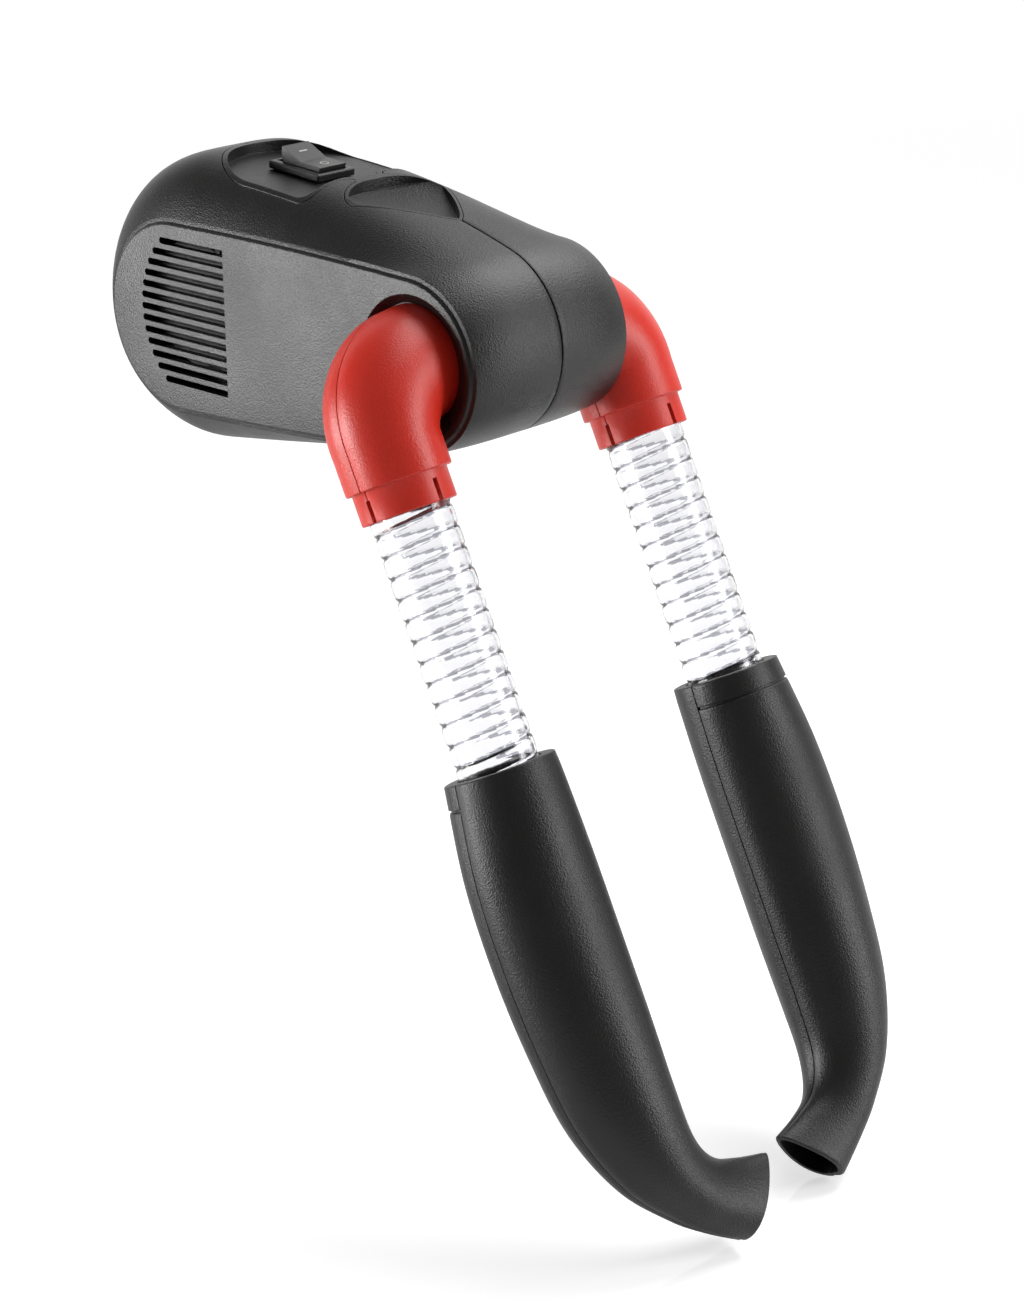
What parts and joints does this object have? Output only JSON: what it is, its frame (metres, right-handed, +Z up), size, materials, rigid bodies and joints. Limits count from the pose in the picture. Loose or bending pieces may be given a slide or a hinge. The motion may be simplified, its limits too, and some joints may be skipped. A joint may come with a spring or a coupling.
{
  "type": "boot dryer",
  "caption": "Hand-sized warm-air blower for drying ski boots: rounded housing with a rocker switch, swivelling elbows, clear ribbed hoses and bent hollow nozzles.",
  "frame": {"origin": "middle of the bounding box's lowest level, which the right nozzle's tip touches", "axes": "+X the dryer's right side, +Y its fan end, +Z up; the arms hang 26 degrees forward of straight down"},
  "size_m": [0.1388, 0.2598, 0.2818],
  "materials": {
    "black_plastic": "satin, fine spark-eroded grain",
    "red_plastic": "satin red, fine grain",
    "clear_hose": "clear ribbed, glossy",
    "heat_plastic": "heat-resistant, unpolished",
    "grey_plastic": "matt grey",
    "steel": "zinc-plated",
    "heating_wire": "oxidised resistance wire",
    "mica": "pressed mica board",
    "board": "green solder mask",
    "capacitor": "blue sleeve",
    "rubber": "moulded, matt"
  },
  "bodies": {
    "housing": {"housing_left": "black_plastic", "housing_right": "black_plastic", "top_insert": "black_plastic", "switch_body": "black_plastic", "air_manifold": "heat_plastic", "heater_duct": "heat_plastic", "fan_casing": "heat_plastic", "fan_cover": "heat_plastic", "motor_mount": "grey_plastic", "inlet_baffle": "grey_plastic", "motor": "steel", "thermal_cutout": "steel", "switch_terminal_1": "steel", "switch_terminal_2": "steel", "screw_shoulder": "steel", "screw_keel_front": "steel", "screw_keel_rear": "steel", "screw_fan_low": "steel", "screw_fan_high": "steel", "heater_coil": "heating_wire", "heater_card_upright": "mica", "heater_card_level": "mica", "circuit_board": "board", "capacitor": "capacitor", "cord_gland": "rubber"},
    "rocker": {"rocker": "black_plastic"},
    "fan": {"impeller": "heat_plastic", "fan_shaft": "steel"},
    "left_elbow": {"elbow_left_front": "red_plastic", "elbow_left_rear": "red_plastic"},
    "right_elbow": {"elbow_right_front": "red_plastic", "elbow_right_rear": "red_plastic"},
    "left_nozzle": {"hose_left": "clear_hose", "nozzle_left_front": "black_plastic", "nozzle_left_rear": "black_plastic"},
    "right_nozzle": {"hose_right": "clear_hose", "nozzle_right_front": "black_plastic", "nozzle_right_rear": "black_plastic"}
  },
  "joints": [
    {"name": "left_arm_swivel", "type": "hinge", "parent": "housing", "child": "left_elbow", "pos_m": [-0.04869, -0.0074, 0.23494], "axis": [1, 0, 0], "range_deg": [-64, 70]},
    {"name": "right_arm_swivel", "type": "hinge", "parent": "housing", "child": "right_elbow", "pos_m": [0.04851, -0.0074, 0.23494], "axis": [1, 0, 0], "range_deg": [-64, 70]},
    {"name": "left_nozzle_turn", "type": "hinge", "parent": "left_elbow", "child": "left_nozzle", "pos_m": [-0.04869, -0.0074, 0.23494], "axis": [0, 0.4399, 0.898], "continuous": true},
    {"name": "right_nozzle_turn", "type": "hinge", "parent": "right_elbow", "child": "right_nozzle", "pos_m": [0.04851, -0.0074, 0.23494], "axis": [0, 0.4399, 0.898], "continuous": true},
    {"name": "switch_rocker", "type": "hinge", "parent": "housing", "child": "rocker", "pos_m": [-0.00009, 0.06251, 0.27518], "axis": [1, 0, 0], "range_deg": [-22, 0]},
    {"name": "fan_spin", "type": "hinge", "parent": "housing", "child": "fan", "pos_m": [-0.00009, 0.0856, 0.23614], "axis": [1, 0, 0], "continuous": true}
  ]
}
